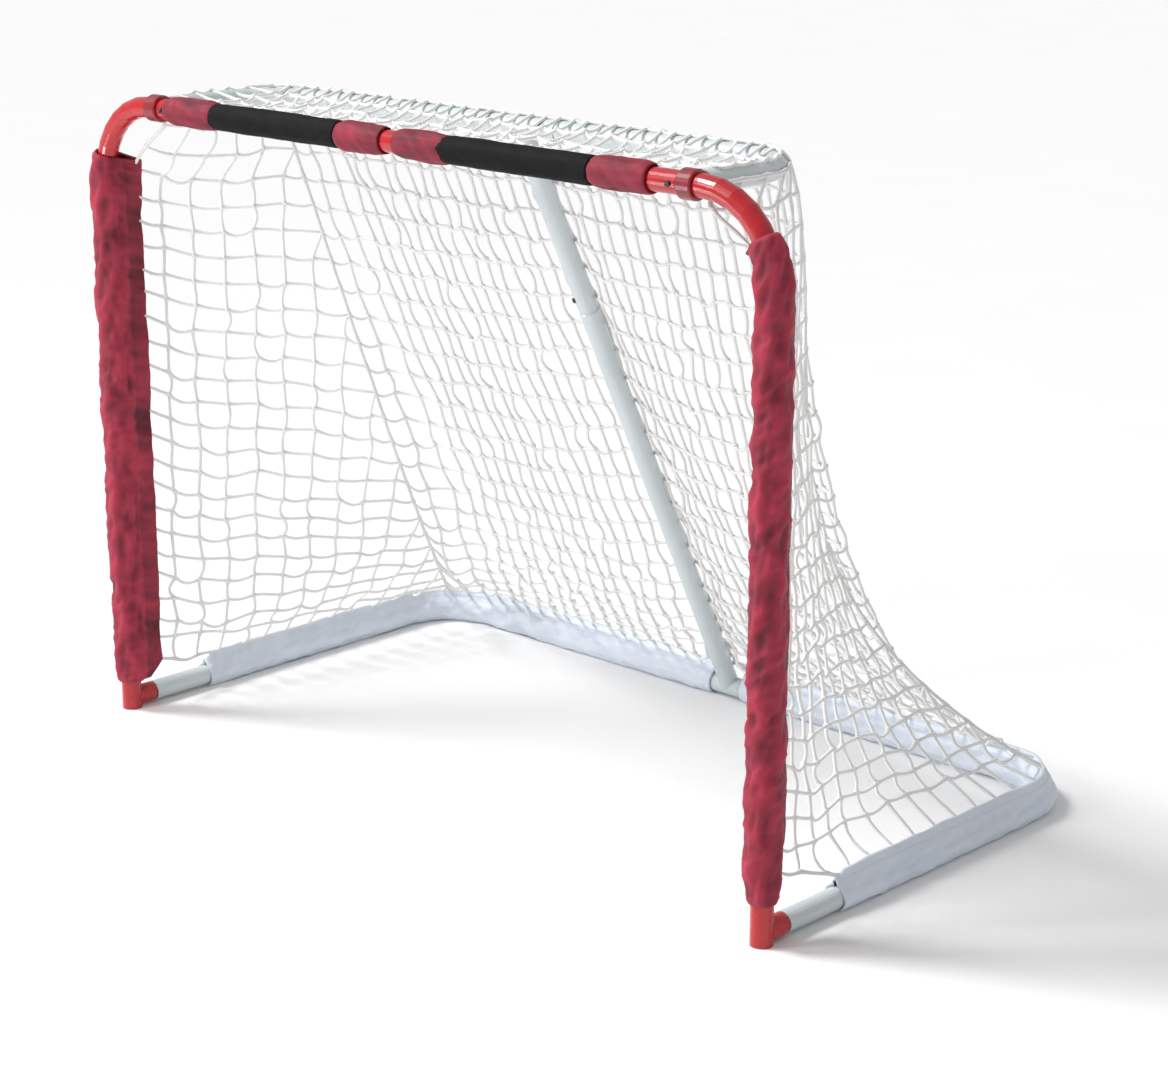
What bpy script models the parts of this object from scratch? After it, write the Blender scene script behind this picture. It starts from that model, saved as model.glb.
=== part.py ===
"""Street hockey goal: a slip-together steel tube frame with sleeved netting.

X runs across the goal mouth, +Y from the mouth to the back, +Z up. The pieces are laid out with
Y = 0 on the goal line and moved together at the end, so that the origin is on the floor under the
middle of the goal.
"""

import math

import bmesh
import bpy
from mathutils import Matrix, Vector

# Driving dimensions, in metres
TUBE_R = 0.0159  # 1 1/4 inch tube
WALL = 0.0015
FIT = 0.0004  # clearance of a spigot in its socket
GAP = 0.0003  # between pieces that touch
POST_X = 0.670  # post axis to the middle of the goal
TOP_Z = 0.9841  # axis of the crossbar and the shelf
BASE_Y = 0.715  # axis of the rear base bar
SHELF_Y = 0.233  # axis of the rear shelf bar
FRONT_BEND = 0.115
REAR_BEND = 0.110
SPIGOT = 0.045
TAPER = 0.004
COLLAR_X = 0.534
COLLAR_R = 0.0205
COLLAR_LEN = 0.026
COLLAR_BEVEL = 0.0014
COLLAR_LIP = 0.0025
STUB_END = 0.042  # the foot stub's shoulder, behind the post axis
STUB_IN = 0.004  # where a stub starts, inside the tube it's saddled to
ARM_SPIGOT_IN = 0.010
STEM_IN = 0.002
SADDLE_HALF = 0.05
ARM_START = 0.0235
TEE_HALF = 0.078
STEM_LEN = 0.318
SLEEVE_GAP = 0.0006
SLEEVE_WALL = 0.0015
FLAP = 0.035  # the sewn edge that carries the net
FLAP_HALF = 0.0013
BASE_SLEEVE_Y = 0.150
BASE_SLEEVE_X = 0.030
POST_SLEEVE_Z = 0.055
POST_SLEEVE_TURN = math.radians(25)
POST_FLAP_TURN = math.radians(12)
CROSSBAR_SLEEVES = {"left": (-0.502, -0.026), "right": (0.000, 0.471)}
BANDS = {"left": (-0.391, -0.120), "right": (0.100, 0.369)}
NET_THICK = 0.003
NET_CLEAR = 0.002  # between the netting and the flap it's tied to
NET_ROWS = 8
BACK_COLUMNS = (0.0, 0.3, 0.55, 0.7, 0.8, 0.9, 1.0)  # shares of the half width
BACK_TOP = (0.518, 0.254, 0.984)  # rear corner of the net at the shelf
BACK_FOOT = (0.634, 0.718)
NET_SEAM = 0.005  # between the back panel and a side panel
CREASE_IN = 0.135  # the rear corners are slack: drawn in and forward this far
CREASE_FORWARD = 0.115
CREASE_FROM = 0.55  # share of the half width where the back starts to turn forward
CREASE_LOW = 1.6  # puts the slackest place below the middle
CREASE_FULL = 0.8
SIDE_FRONT = ((0.5560, 0.060, 0.970), (0.6575, 0.058, 0.860))  # ring, then down the flap
SIDE_TOP_SHARE = 0.02
TOP_PANEL_X = 0.530
TOP_PANEL_Y = (0.045, 0.235)
TOP_PANEL_UP = 0.0013
SCREW_R = 0.0020
SCREW_HOLE_R = 0.0024
SCREW_HEAD_R = 0.0046
SCREW_HEAD_H = 0.0026
SCREW_LEN = 0.0065
SCREW_CROWN = 0.62  # shares of the head's size, for its rounded edge
SCREW_ROUND = 0.92
CROSSBAR_SCREW_X = 0.508
TEE_SCREW_X = 0.052
TEE_SCREW_TILT = math.radians(25)
POST_SCREW_UP = 0.022
POST_SCREW_LEAN = 0.6

SEGMENTS = 24
BEND_STEPS = 7
SHARP = math.radians(35)
SPIGOT_R = TUBE_R - WALL - FIT
BASE_Z = TUBE_R + SLEEVE_GAP + SLEEVE_WALL
MOUTH_Y = -(BASE_Y + BASE_Z - COLLAR_R) / 2  # the goal line, from the middle of the goal
SIDES = {"left": -1, "right": 1}

COLOURS = {  # base colour, roughness, metallic
    "red_paint": ((0.60, 0.030, 0.030, 1), 0.30, 0.0),
    "white_paint": ((0.62, 0.67, 0.68, 1), 0.35, 0.0),
    "burgundy_nylon": ((0.26, 0.030, 0.060, 1), 0.70, 0.0),
    "white_nylon": ((0.66, 0.70, 0.78, 1), 0.75, 0.0),
    "black_nylon": ((0.012, 0.012, 0.013, 1), 0.60, 0.0),
    "twine": ((0.66, 0.66, 0.62, 1), 0.85, 0.0),
    "black_steel": ((0.030, 0.030, 0.032, 1), 0.40, 0.9),
}


def material(name):
    """The named paint or cloth."""
    mat = bpy.data.materials.get(name)
    if mat is None:
        colour, roughness, metallic = COLOURS[name]
        mat = bpy.data.materials.new(name)
        mat.use_nodes = True
        shader = mat.node_tree.nodes["Principled BSDF"]
        shader.inputs["Base Color"].default_value = colour
        shader.inputs["Roughness"].default_value = roughness
        shader.inputs["Metallic"].default_value = metallic
    return mat


def finish_object(name, bm, mat, location=(0, 0, 0)):
    """Turn a bmesh into a smooth-shaded object."""
    bmesh.ops.recalc_face_normals(bm, faces=bm.faces)
    mesh = bpy.data.meshes.new(name)
    bm.to_mesh(mesh)
    bm.free()
    mesh.shade_smooth()
    mesh.set_sharp_from_angle(angle=SHARP)
    mesh.materials.append(material(mat))
    obj = bpy.data.objects.new(name, mesh)
    obj.location = location
    bpy.context.scene.collection.objects.link(obj)
    return obj


def circle(radius, angles):
    """Points of a round section."""
    return [(radius * math.cos(t), radius * math.sin(t)) for t in angles]


def round_angles():
    return [2 * math.pi * i / SEGMENTS for i in range(SEGMENTS)]


def sleeve_section(flap_angle):
    """A pocket round the tube with a flat sewn flap at flap_angle: its outer and inner outline."""
    step = 2 * math.pi / SEGMENTS
    angles = [flap_angle + step * (i + 0.5) for i in range(SEGMENTS)]
    outer_r = TUBE_R + SLEEVE_GAP + SLEEVE_WALL
    inner = circle(TUBE_R + SLEEVE_GAP, angles)
    outer = circle(outer_r, angles)
    tip = outer_r + FLAP
    along = Vector((math.cos(flap_angle), math.sin(flap_angle)))
    across = Vector((-along.y, along.x))
    for side, place in ((-1, len(outer)), (1, len(outer) + 1)):
        outer.append(tuple(along * tip + across * side * FLAP_HALF))
        spread = side * step / 6
        inner.append(
            (
                (TUBE_R + SLEEVE_GAP) * math.cos(flap_angle + spread),
                (TUBE_R + SLEEVE_GAP) * math.sin(flap_angle + spread),
            )
        )
    return outer, inner


def bent_path(corners, radius):
    """Points and directions along straight runs joined by round bends."""
    corners = [Vector(c) for c in corners]
    path = [(corners[0], (corners[1] - corners[0]).normalized())]
    for before, corner, after in zip(corners, corners[1:], corners[2:]):
        into = (corner - before).normalized()
        out = (after - corner).normalized()
        turn = into.angle(out)
        setback = radius * math.tan(turn / 2)
        axis = into.cross(out).normalized()
        start = corner - into * setback
        centre = start + axis.cross(into) * radius
        for i in range(BEND_STEPS + 1):
            spin = Matrix.Rotation(turn * i / BEND_STEPS, 3, axis)
            path.append((centre + spin @ (start - centre), spin @ into))
    path.append((corners[-1], (corners[-1] - corners[-2]).normalized()))
    return path


def loft(name, path, normal, outlines, mat):
    """Skin a hollow section along a path. outlines gives one (outer, inner) pair per point."""
    normal = Vector(normal)
    bm = bmesh.new()
    rings = []
    for (point, along), (outer, inner) in zip(path, outlines):
        side = along.cross(normal).normalized()
        rings.append(
            [
                [bm.verts.new(point + normal * p + side * q) for p, q in outline]
                for outline in (outer, inner)
            ]
        )
    count = len(rings[0][0])
    for i in range(count):
        j = (i + 1) % count
        for ring, following in zip(rings, rings[1:]):
            for skin in (0, 1):
                bm.faces.new((ring[skin][i], ring[skin][j], following[skin][j], following[skin][i]))
        for ring in (rings[0], rings[-1]):
            bm.faces.new((ring[0][i], ring[0][j], ring[1][j], ring[1][i]))
    return finish_object(name, bm, mat)


def tube(name, corners, normal, mat, bend=REAR_BEND, spigot_start=False, spigot_end=False):
    """A hollow bent tube. A spigot is an end swaged down to fit inside the next tube."""
    path = bent_path(corners, bend)
    radii = [TUBE_R] * len(path)
    if spigot_start:
        point, along = path[0]
        path[:1] = [(point, along), (point + along * SPIGOT, along)]
        path.insert(2, (point + along * (SPIGOT + TAPER), along))
        radii = [SPIGOT_R, SPIGOT_R] + radii
    if spigot_end:
        point, along = path[-1]
        path[-1:] = [(point - along * (SPIGOT + TAPER), along), (point - along * SPIGOT, along)]
        path.append((point, along))
        radii = radii + [SPIGOT_R, SPIGOT_R]
    angles = round_angles()
    outlines = [(circle(r, angles), circle(r - WALL, angles)) for r in radii]
    return loft(name, path, normal, outlines, mat)


def rod(name, start, end, radius, mat="black_steel", cutter=False):
    """A plain round bar from start to end, or a cutter of that shape."""
    start, end = Vector(start), Vector(end)
    bm = bmesh.new()
    bmesh.ops.create_cone(
        bm, cap_ends=True, segments=SEGMENTS, radius1=radius, radius2=radius, depth=(end - start).length
    )
    turn = Vector((0, 0, 1)).rotation_difference(end - start).to_matrix().to_4x4()
    bmesh.ops.transform(bm, matrix=Matrix.Translation((start + end) / 2) @ turn, verts=bm.verts)
    obj = finish_object(name, bm, mat)
    if cutter:
        obj.hide_render = True
        obj.display_type = "WIRE"
    return obj


def cut(target, cutter):
    """Take the cutter's shape out of the target."""
    change = target.modifiers.new("cut_" + cutter.name, "BOOLEAN")
    change.operation = "DIFFERENCE"
    change.object = cutter


def screw(name, on_axis, outward, targets):
    """A pan-head screw set into a tube, and its hole through the tube and the spigot inside."""
    on_axis, outward = Vector(on_axis), Vector(outward).normalized()
    seat = TUBE_R + GAP
    profile = [
        (seat + SCREW_HEAD_H, SCREW_CROWN * SCREW_HEAD_R),
        (seat + SCREW_CROWN * SCREW_HEAD_H, SCREW_ROUND * SCREW_HEAD_R),
        (seat, SCREW_HEAD_R),
        (seat, SCREW_R),
        (seat - SCREW_LEN, SCREW_R),
    ]
    turn = Vector((0, 0, 1)).rotation_difference(outward).to_matrix()
    bm = bmesh.new()
    sides = SEGMENTS // 2
    rings = []
    for height, radius in profile:
        rings.append(
            [
                bm.verts.new(
                    on_axis
                    + turn
                    @ Vector(
                        (
                            radius * math.cos(2 * math.pi * i / sides),
                            radius * math.sin(2 * math.pi * i / sides),
                            height,
                        )
                    )
                )
                for i in range(sides)
            ]
        )
    for ring, following in zip(rings, rings[1:]):
        for i in range(sides):
            j = (i + 1) % sides
            bm.faces.new((ring[i], ring[j], following[j], following[i]))
    bm.faces.new(rings[0])
    bm.faces.new(rings[-1])
    finish_object(name, bm, "black_steel")
    hole = rod(
        name + "_hole", on_axis, on_axis + outward * 2 * TUBE_R, SCREW_HOLE_R, cutter=True
    )
    for target in targets:
        cut(target, hole)


def slab(name, rows, push, mat="twine"):
    """A thin panel of netting through rows of points, pushed out to NET_THICK."""
    push = Vector(push).normalized() * NET_THICK
    bm = bmesh.new()
    sheets = [
        [[bm.verts.new(Vector(point) + shift) for point in row] for row in rows]
        for shift in (Vector((0, 0, 0)), push)
    ]
    tall, wide = len(rows), len(rows[0])
    for sheet in sheets:
        for r in range(tall - 1):
            for c in range(wide - 1):
                bm.faces.new((sheet[r][c], sheet[r][c + 1], sheet[r + 1][c + 1]))
                bm.faces.new((sheet[r][c], sheet[r + 1][c + 1], sheet[r + 1][c]))
    rim = [(0, c) for c in range(wide)] + [(r, wide - 1) for r in range(1, tall)]
    rim += [(tall - 1, c) for c in range(wide - 2, -1, -1)] + [(r, 0) for r in range(tall - 2, 0, -1)]
    low, high = sheets
    for (r, c), (next_r, next_c) in zip(rim, rim[1:] + rim[:1]):
        bm.faces.new((low[r][c], low[next_r][next_c], high[next_r][next_c], high[r][c]))
    return finish_object(name, bm, mat)


def front_frame():
    """The red goal mouth: two bent posts, the crossbar between them, collars and stubs."""
    end_x = COLLAR_X - SPIGOT
    crossbar = tube(
        "crossbar",
        [(-COLLAR_X + GAP, 0, TOP_Z), (COLLAR_X - GAP, 0, TOP_Z)],
        (0, 1, 0),
        "red_paint",
    )
    for side, sign in SIDES.items():
        post = tube(
            "post_" + side,
            [(sign * POST_X, 0, 0), (sign * POST_X, 0, TOP_Z), (sign * end_x, 0, TOP_Z)],
            (0, 1, 0),
            "red_paint",
            bend=FRONT_BEND,
            spigot_end=True,
        )
        screw(
            "crossbar_screw_" + side,
            (sign * CROSSBAR_SCREW_X, 0, TOP_Z),
            (0, -1, 0),
            [crossbar, post],
        )
        foot_stub(side, sign)
        collar(side, sign)


def foot_stub(side, sign):
    """The short tube welded behind a post's foot, with the spigot that the base slides over."""
    x = sign * POST_X
    stub = tube(
        "foot_stub_" + side,
        [(x, STUB_IN, BASE_Z), (x, STUB_END + SPIGOT, BASE_Z)],
        (0, 0, 1),
        "red_paint",
        spigot_end=True,
    )
    saddle = rod(
        "foot_saddle_" + side,
        (x, 0, -SADDLE_HALF),
        (x, 0, 2 * SADDLE_HALF),
        TUBE_R + GAP,
        cutter=True,
    )
    cut(stub, saddle)


def collar(side, sign):
    """The ring over the joint of post and crossbar, and the spigot behind it for the shelf arm."""
    angles = round_angles()
    half = COLLAR_LEN / 2
    stations = [
        (-half, COLLAR_R - COLLAR_BEVEL),
        (-half + COLLAR_LIP, COLLAR_R),
        (half - COLLAR_LIP, COLLAR_R),
        (half, COLLAR_R - COLLAR_BEVEL),
    ]
    centre = Vector((sign * COLLAR_X, 0, TOP_Z))
    path = [(centre + Vector((d, 0, 0)), Vector((1, 0, 0))) for d, _ in stations]
    outlines = [(circle(r, angles), circle(TUBE_R + GAP, angles)) for _, r in stations]
    loft("collar_" + side, path, (0, 1, 0), outlines, "red_paint")
    end = ARM_START - GAP + SPIGOT
    spigot_path = [
        (centre + Vector((0, y, 0)), Vector((0, 1, 0))) for y in (ARM_SPIGOT_IN, end)
    ]
    outline = (circle(SPIGOT_R, angles), circle(SPIGOT_R - WALL, angles))
    spigot = loft("arm_spigot_" + side, spigot_path, (0, 0, 1), [outline] * 2, "red_paint")
    saddle = rod(
        "collar_saddle_" + side,
        centre - Vector((SADDLE_HALF, 0, 0)),
        centre + Vector((SADDLE_HALF, 0, 0)),
        COLLAR_R + GAP,
        cutter=True,
    )
    cut(spigot, saddle)


def rear_frame():
    """The white frame: shelf arms and tee above, centre post, base tubes and tee below."""
    top = Vector((0, SHELF_Y, TOP_Z))
    foot = Vector((0, BASE_Y, BASE_Z))
    down = (foot - top).normalized()
    across = (0, 0, 1)

    tees = {}
    for name, centre in (("shelf_tee", top), ("base_tee", foot)):
        tees[name] = tube(
            name,
            [centre - Vector((TEE_HALF, 0, 0)), centre + Vector((TEE_HALF, 0, 0))],
            across,
            "white_paint",
        )
    saddles = [
        rod(
            name + "_saddle",
            centre - Vector((SADDLE_HALF, 0, 0)),
            centre + Vector((SADDLE_HALF, 0, 0)),
            TUBE_R + GAP,
            cutter=True,
        )
        for name, centre in (("shelf_tee", top), ("base_tee", foot))
    ]
    stem_end = top + down * STEM_LEN
    stem = tube("shelf_tee_stem", [top + down * STEM_IN, stem_end], (1, 0, 0), "white_paint")
    cut(stem, saddles[0])
    post = tube(
        "centre_post",
        [stem_end + down * (GAP - SPIGOT), foot - down * STEM_IN],
        (1, 0, 0),
        "white_paint",
        spigot_start=True,
    )
    cut(post, saddles[1])
    forward = Vector((-1, 0, 0)).cross(down)
    outward = forward - Vector((POST_SCREW_LEAN, 0, 0))
    screw("centre_post_screw", stem_end - down * POST_SCREW_UP, outward, [stem, post])

    tee_end = TEE_HALF + GAP - SPIGOT
    screw_out = Vector((0, -math.cos(TEE_SCREW_TILT), math.sin(TEE_SCREW_TILT)))
    for side, sign in SIDES.items():
        arm = tube(
            "shelf_arm_" + side,
            [
                (sign * COLLAR_X, ARM_START, TOP_Z),
                (sign * COLLAR_X, SHELF_Y, TOP_Z),
                (sign * tee_end, SHELF_Y, TOP_Z),
            ],
            across,
            "white_paint",
            spigot_end=True,
        )
        screw(
            "shelf_tee_screw_" + side,
            (sign * TEE_SCREW_X, SHELF_Y, TOP_Z),
            screw_out,
            [tees["shelf_tee"], arm],
        )
        tube(
            "base_tube_" + side,
            [
                (sign * POST_X, STUB_END + GAP, BASE_Z),
                (sign * POST_X, BASE_Y, BASE_Z),
                (sign * tee_end, BASE_Y, BASE_Z),
            ],
            across,
            "white_paint",
            spigot_end=True,
        )


def sleeves():
    """The nylon pockets that carry the net, slid over the tubes before they're joined."""
    for side, sign in SIDES.items():
        x = sign * POST_X
        reach = FRONT_BEND * math.sin(POST_SLEEVE_TURN)
        rise = TOP_Z - FRONT_BEND
        path = [((x, 0, POST_SLEEVE_Z), (0, 0, 1)), ((x, 0, rise), (0, 0, 1))]
        for i in (1, 2):
            turn = POST_SLEEVE_TURN * i / 2
            inward = FRONT_BEND * (1 - math.cos(turn))
            path.append(
                (
                    (x - sign * inward, 0, rise + FRONT_BEND * math.sin(turn)),
                    (-sign * math.sin(turn), 0, math.cos(turn)),
                )
            )
        path = [(Vector(p), Vector(d)) for p, d in path]
        section = sleeve_section(sign * POST_FLAP_TURN)
        loft("post_sleeve_" + side, path, (0, 1, 0), [section] * len(path), "burgundy_nylon")

        path = bent_path(
            [
                (x, BASE_SLEEVE_Y, BASE_Z),
                (x, BASE_Y, BASE_Z),
                (sign * BASE_SLEEVE_X, BASE_Y, BASE_Z),
            ],
            REAR_BEND,
        )
        section = sleeve_section(0)
        loft("base_sleeve_" + side, path, (0, 0, 1), [section] * len(path), "white_nylon")

        low, high = CROSSBAR_SLEEVES[side]
        band_low, band_high = BANDS[side]
        section = sleeve_section(0)
        for name, start, end, mat in (
            ("crossbar_sleeve_" + side + "_a", low, band_low - GAP, "burgundy_nylon"),
            ("crossbar_band_" + side, band_low, band_high, "black_nylon"),
            ("crossbar_sleeve_" + side + "_b", band_high + GAP, high, "burgundy_nylon"),
        ):
            path = [(Vector((at, 0, TOP_Z)), Vector((1, 0, 0))) for at in (start, end)]
            loft(name, path, (0, 1, 0), [section] * 2, mat)


def rear_corner(share):
    """Where a side panel meets the back, at a share of the way down its slack rear edge."""
    hem = BASE_Z + TUBE_R + SLEEVE_GAP + SLEEVE_WALL + FLAP + NET_CLEAR
    straight = Vector(BACK_TOP).lerp(Vector((*BACK_FOOT, hem)), share)
    slack = max(0.0, math.sin(math.pi * share**CREASE_LOW)) ** CREASE_FULL
    return straight, straight - Vector((CREASE_IN, CREASE_FORWARD, 0)) * slack


def nets():
    """The four panels of the net, as thin plates where the netting hangs."""
    top = TOP_Z + TUBE_R + TOP_PANEL_UP
    slab(
        "net_top",
        [[(-TOP_PANEL_X, y, top), (TOP_PANEL_X, y, top)] for y in TOP_PANEL_Y],
        (0, 0, 1),
    )

    shares = [i / NET_ROWS for i in range(NET_ROWS + 1)]
    columns = [-column for column in BACK_COLUMNS[:0:-1]] + list(BACK_COLUMNS)
    rows = []
    for share in shares[::-1]:
        straight, corner = rear_corner(share)
        row = []
        for column in columns:
            turn = max(0.0, (abs(column) - CREASE_FROM) / (1 - CREASE_FROM)) ** 2
            row.append((column * corner.x, straight.y + (corner.y - straight.y) * turn, corner.z))
        rows.append(row)
    lean = (rear_corner(1)[0] - rear_corner(0)[0]).cross(Vector((1, 0, 0)))
    slab("net_back", rows, -lean if lean.y < 0 else lean)

    ring, knee = (Vector(point) for point in SIDE_FRONT)
    foot_z = rear_corner(1)[1].z
    for side, sign in SIDES.items():
        rows = []
        for share in shares[::-1]:
            far = rear_corner(max(share, SIDE_TOP_SHARE))[1] + Vector((NET_SEAM, 0, 0))
            z = ring.z + (foot_z - ring.z) * share
            near = ring.lerp(knee, min(1.0, (ring.z - z) / (ring.z - knee.z)))
            near.z = z
            middle = (near + far) / 2
            if near.z > TOP_Z - TUBE_R:  # round the outside of the shelf arm
                middle.x = max(middle.x, COLLAR_X + TUBE_R + NET_THICK)
            rows.append([Vector((sign * p.x, p.y, p.z)) for p in (near, middle, far)])
        slab("net_" + side, rows, (sign, 0, 0))


for old in list(bpy.data.objects):
    bpy.data.objects.remove(old, do_unlink=True)
front_frame()
rear_frame()
sleeves()
nets()
for obj in bpy.data.objects:
    obj.location.y += MOUTH_Y
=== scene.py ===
"""Street hockey goal, dressed: painted tubes, wrinkled nylon sleeves and a hanging twine net."""

import math
import random

import bpy
import numpy as np
from mathutils import Matrix, Vector, noise


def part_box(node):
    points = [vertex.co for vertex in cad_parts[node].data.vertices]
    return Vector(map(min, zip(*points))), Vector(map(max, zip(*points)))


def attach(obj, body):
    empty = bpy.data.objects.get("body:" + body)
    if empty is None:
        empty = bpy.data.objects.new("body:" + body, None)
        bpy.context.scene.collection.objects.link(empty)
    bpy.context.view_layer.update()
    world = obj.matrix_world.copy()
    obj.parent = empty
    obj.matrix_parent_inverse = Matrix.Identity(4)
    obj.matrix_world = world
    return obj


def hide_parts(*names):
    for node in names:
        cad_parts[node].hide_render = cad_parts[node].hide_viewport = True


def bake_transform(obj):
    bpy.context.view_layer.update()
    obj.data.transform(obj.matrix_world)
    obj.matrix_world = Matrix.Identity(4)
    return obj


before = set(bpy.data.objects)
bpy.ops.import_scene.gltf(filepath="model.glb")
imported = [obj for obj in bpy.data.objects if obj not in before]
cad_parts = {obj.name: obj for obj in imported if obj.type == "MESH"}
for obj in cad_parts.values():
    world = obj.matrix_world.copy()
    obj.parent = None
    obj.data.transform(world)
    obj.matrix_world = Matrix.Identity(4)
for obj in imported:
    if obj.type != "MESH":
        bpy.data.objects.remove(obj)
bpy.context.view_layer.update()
SIDES = {"left": -1, "right": 1}
FRONT, REAR = "front_frame", "rear_frame"


def centre(node):
    low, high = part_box(node)
    return (Vector(low) + Vector(high)) / 2


def size(node):
    low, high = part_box(node)
    return Vector(high) - Vector(low)


# Places, from the frame
TUBE_R = size("crossbar").z / 2
TOP_Z = centre("crossbar").z
MOUTH_Y = centre("crossbar").y
SHELF_Y = centre("shelf_tee").y
BASE_Y = centre("base_tee").y
BASE_Z = centre("base_tee").z
POST_X = centre("foot_stub_right").x
COLLAR_X = centre("collar_right").x
FRONT_BEND = 0.115
REAR_BEND = 0.110

# Cloth
CLOTH_R = TUBE_R + 0.0016
HALF_FLAP = 0.0011  # half of the flap's thickness
POST_TIP = 0.050  # from the tube's axis to the edge of the flap
BASE_TIP = 0.038
BAR_TIP = 0.046
POST_SLEEVES = {"left": (0.047, 0.905), "right": (0.060, 0.930)}  # heights of foot and top
POST_TURN = {"left": math.radians(24), "right": math.radians(11)}
POST_TWIST = {"left": math.radians(22), "right": math.radians(60)}  # more, at the top end
TWIST_RUN = 0.07
BAR_TURN = math.radians(4)
POST_SEEDS = {"left": 3.1, "right": 8.7}
BASE_SEEDS = {"left": 14.3, "right": 21.9}
BAR_SEEDS = (31.0, 33.5, 36.2, 39.8, 42.4, 45.1)
BASE_SLEEVE_Y = MOUTH_Y + 0.150
BASE_SLEEVE_X = 0.030
FLAP_Z = BASE_Z + BASE_TIP - 0.003  # where the net meets the base's flap
IN_FLAP = 0.011  # how far the net runs into a post's flap
FLOOR_CLEAR = 0.0004
STEP = 0.0036  # between points along a sleeve
OUTLINE = 60  # points round a sleeve

# Heights of the folds in the cloth, and its ends and stitches
SOFT_FOLD = RING_FOLD = 0.0012
SLANT_FOLD = 0.0004
FACET_FOLD = 0.0036
LONG_FOLD = 0.0014
FINE_FOLD = 0.0003
DEEPEST_FOLD = 0.0002
SWAY = 0.0035
EDGE_WAVE = 0.0025
END_GATHER = 0.006  # how far in from its end a sleeve is drawn tight
TAPER_END = 0.45  # share of the flap's reach left at a tapered end
TAPER_THIN = 0.35  # and of its thickness
BULGE_RUN = 0.02
HEM_IN = 0.004
HEM_REACH = TUBE_R + 0.0004
# painted shade of the cloth where it turns in at the ends
HEM_PAINTED_SHADE = 0.1
ROUND_CLOTH = 0.006  # cloth this close to CLOTH_R lies on the tube
FLAP_HEM = 0.94  # how far the flap is turned in at an end
STITCH_R = 0.00042
STITCH_RISE = 0.0003
STITCH_CLEAR = 0.00015
STITCH_INSET = 0.08
WEAVE = 0.0011

# Net
NET_SEED = 52
TWINE_R = 0.0026
EDGE_R = 0.0029
WRAP = TUBE_R + TWINE_R + 0.0006  # from a tube's axis to the twine round it
ROWS = 24
COLUMNS = 38
TOP_ROWS = 5
SIDE_CELL = 0.047
CREASE_IN = 0.135  # how far the slack rear corners are drawn in and forward
CREASE_FORWARD = 0.115
CREASE_COLUMNS = 3.0
CREASE_STEPS = 200
FLAP_STEPS = 80
FLAP_TOP_GAP, FLAP_GAPS = 0.008, 0.038  # bare of net: at the flap's top, and top and foot together
SWAY_SHARE = 0.66  # of the flap's sway, where the net is held in it
RING_IN, RING_BACK, RING_DOWN = 0.004, 0.019, 0.016  # where the edge rope is tied by the ring
RING_TO_ROW = 0.012  # down to the first row of a side panel
ROPE_OVERLAP = 0.045  # how far down inside the sleeve the edge rope runs
ARM_START = 0.030  # behind the crossbar's axis
LAST_CELL = 0.020  # shortest gap before a rear corner
FOOT_REACH = 1.18  # how much faster the lowest row gets to the rear than the others
LANDING = 0.03  # past the end of the base's flap, where the lowest row meets it
HELD_FROM = 0.01
SHELF_UP = 0.004
TEE_WIDTH, TEE_LIFT = 0.012, 0.004
BAR_ROW_IN, BAR_ROW_UP = 0.004, 0.006  # the top panel's first row, in the crossbar's flap
TOP_NARROW, TOP_BACK_GAP = 0.030, 0.012
ARM_OUT, ARM_WRAP = 0.006, 0.93  # the top panel's sides on the arms
OVER_WRAP, OVER_NARROW = 0.75, 0.985  # its last row on the shelf bar

# Slack of the strands between two knots, and how much it varies
BACK_ACROSS, BACK_DOWN = (1.01, 0.05), (1.003, 0.012)
SIDE_ACROSS, SIDE_DOWN = (1.008, 0.05), (1.004, 0.02)
TOP_ACROSS, TOP_DEEP = (1.0, 0.035), (1.02, 0.035)

# How the net comes to rest
ROUNDS = 240
INNER_ROUNDS = 16
FALL = 0.0003  # in each round; late on it falls less
LATE, LATE_FALL = 0.6, 0.25
MOMENTUM = 0.6
TIE_SHARE = 0.42  # how much of its correction each knot takes
POST_FLAT = 0.008  # half width of the net's bulge over the centre post, at its top and whole
POST_REACH = 0.045
POST_GAP = 0.001
KNOT_SCATTER, SCATTER_SEED = 0.0016, 7

# How a strand is drawn between its knots
SUBDIVIDE = 4
MOST_BOW = 0.008
STRAND_JITTER = 0.0009
KNOT_SWELL = 1.35
START_SIZES, END_SIZE = (0.3, 0.8), 0.5  # tapered, where it runs into cloth

# Stage
WORLD_LIGHT = 0.47
LIT_AT = Vector((0, 0, 0.45))
LIGHTS = (  # name, kind, place, angle or size, power
    ("key", "SUN", (-2.4, -1.5, 4.0), math.radians(16), 2.4),
    ("box", "AREA", (-1.6, -3.4, 2.4), 0.9, 45.0),
    ("low", "AREA", (-1.3, -2.5, 0.15), 0.4, 9.0),
)
FLOOR_HALF = 30.0
CAMERA_PLACE = (2.793, -2.914, 1.512)
CAMERA_AZIMUTH, CAMERA_PITCH = math.radians(43.7), math.radians(16.2)
CAMERA_LENS, CAMERA_SENSOR = 84.9, 36.0


# ---------------------------------------------------------------- materials


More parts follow.
